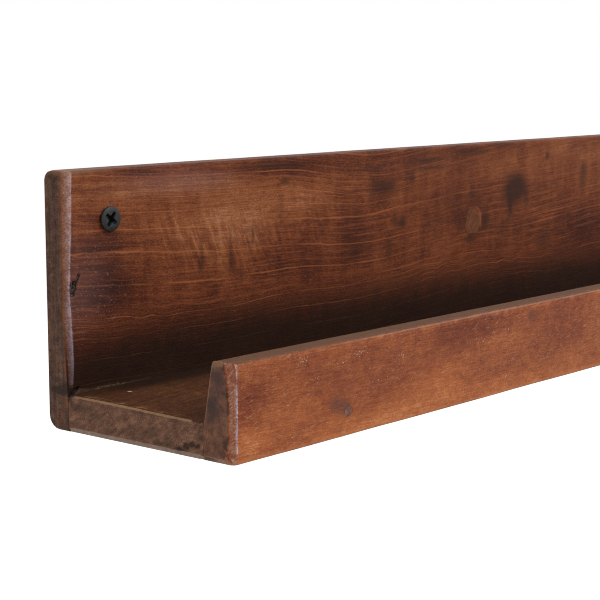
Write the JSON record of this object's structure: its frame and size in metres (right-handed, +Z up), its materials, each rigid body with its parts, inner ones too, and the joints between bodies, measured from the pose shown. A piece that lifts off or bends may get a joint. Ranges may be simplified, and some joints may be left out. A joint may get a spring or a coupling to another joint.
{
  "type": "wall shelf",
  "caption": "Narrow wooden wall ledge for pictures: a tall back board, a shelf board and a raised front lip, hung by black screws through the back.",
  "frame": {"origin": "on the wall plane, midway between the two wall screws, at the height of their axes", "axes": "+X along the ledge to the right as one faces it, +Y into the wall, +Z up"},
  "size_m": [0.6, 0.0899, 0.08],
  "materials": {
    "back_wood": "hand-rubbed oil and wax over worn red-brown hardwood",
    "shelf_wood": "dark oiled hardwood",
    "lip_wood": "hand-rubbed oil and wax over orange-brown hardwood",
    "wood_filler": "matt grey-brown filler",
    "black_screw": "black phosphate, satin",
    "plain_screw": "zinc plated",
    "pin_steel": "bright drawn steel"
  },
  "bodies": {
    "root": {"back_board": "back_wood", "shelf_board": "shelf_wood", "front_lip": "lip_wood", "knot_filler": "wood_filler", "wall_screw_left": "black_screw", "wall_screw_right": "black_screw", "shelf_screw_1": "plain_screw", "shelf_screw_2": "plain_screw", "shelf_screw_3": "plain_screw", "shelf_screw_4": "plain_screw", "lip_pin_1": "pin_steel", "lip_pin_2": "pin_steel", "lip_pin_3": "pin_steel", "lip_pin_filler_1": "wood_filler", "lip_pin_filler_2": "wood_filler", "lip_pin_filler_3": "wood_filler"}
  },
  "joints": []
}
